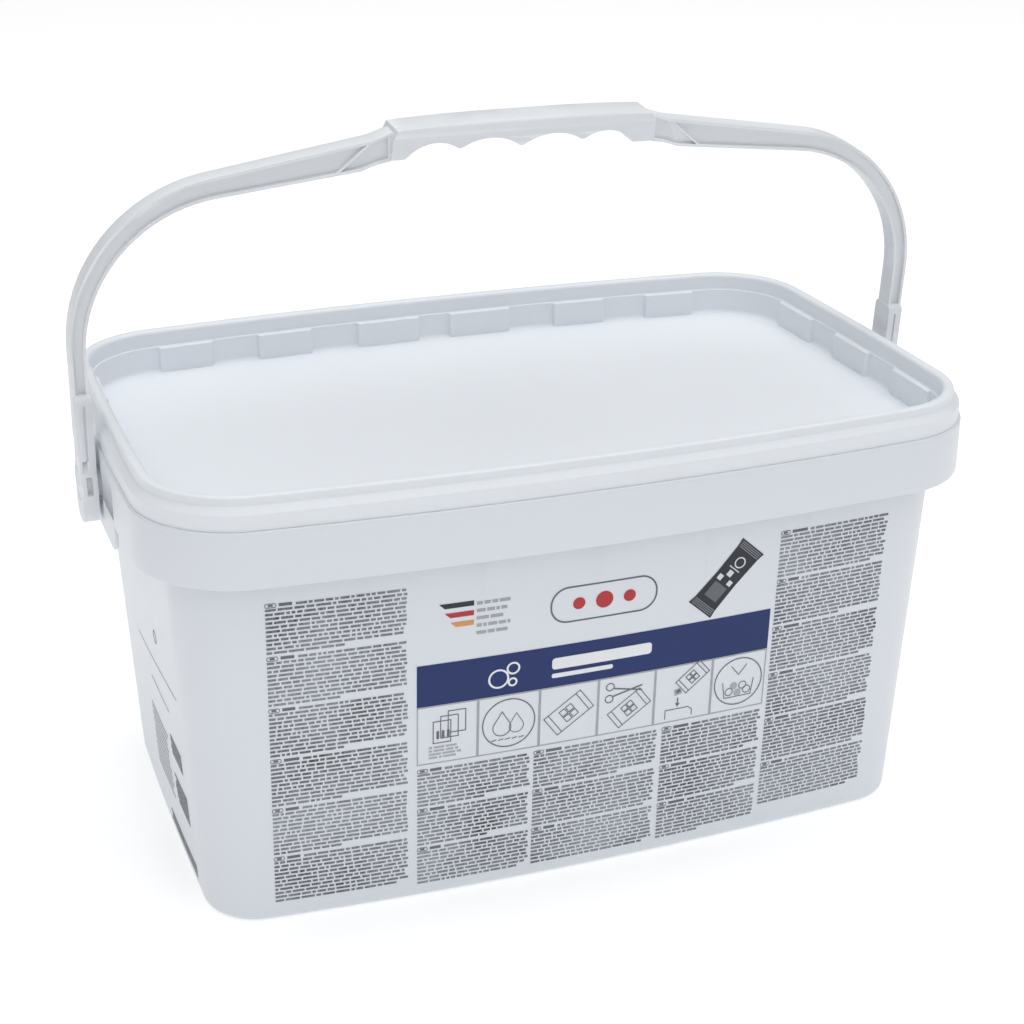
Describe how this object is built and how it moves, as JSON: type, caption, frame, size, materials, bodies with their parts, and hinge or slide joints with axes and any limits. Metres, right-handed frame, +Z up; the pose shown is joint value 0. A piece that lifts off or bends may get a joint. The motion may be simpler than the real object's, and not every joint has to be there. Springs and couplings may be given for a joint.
{
  "type": "cleaning tablet bucket",
  "caption": "White plastic bucket for cleaning tablets, with a lift-off lid, a swinging carry handle and a printed front.",
  "frame": {"origin": "middle of the foot ring, on the surface that the bucket stands on", "axes": "+Z up, +X along the long side from the left hinge to the right one, -Y towards the printed front"},
  "size_m": [0.4084, 0.251, 0.3364],
  "materials": {
    "tub_plastic": "semi-gloss moulded white polypropylene",
    "lid_plastic": "semi-gloss moulded white polypropylene",
    "handle_plastic": "satin moulded white polypropylene",
    "print_navy": "printed dark blue film",
    "print_grey": "printed grey small print",
    "print_dark": "printed near-black drawing"
  },
  "bodies": {
    "tub_body": {"tub": "tub_plastic", "front_band": "print_navy", "front_pictures": "print_grey", "front_text": "print_grey", "front_pouch": "print_dark", "side_print": "print_grey"},
    "lid_body": {"lid": "lid_plastic"},
    "handle_body": {"handle": "handle_plastic"}
  },
  "joints": [
    {"name": "handle_swing", "type": "hinge", "parent": "tub_body", "child": "handle_body", "pos_m": [0, 0, 0.1815], "axis": [1, 0, 0], "range_deg": [-82.5, 71.5]},
    {"name": "lid_lift", "type": "slide", "parent": "tub_body", "child": "lid_body", "axis": [0, 0, 1], "range_m": [0, 0.045]}
  ]
}
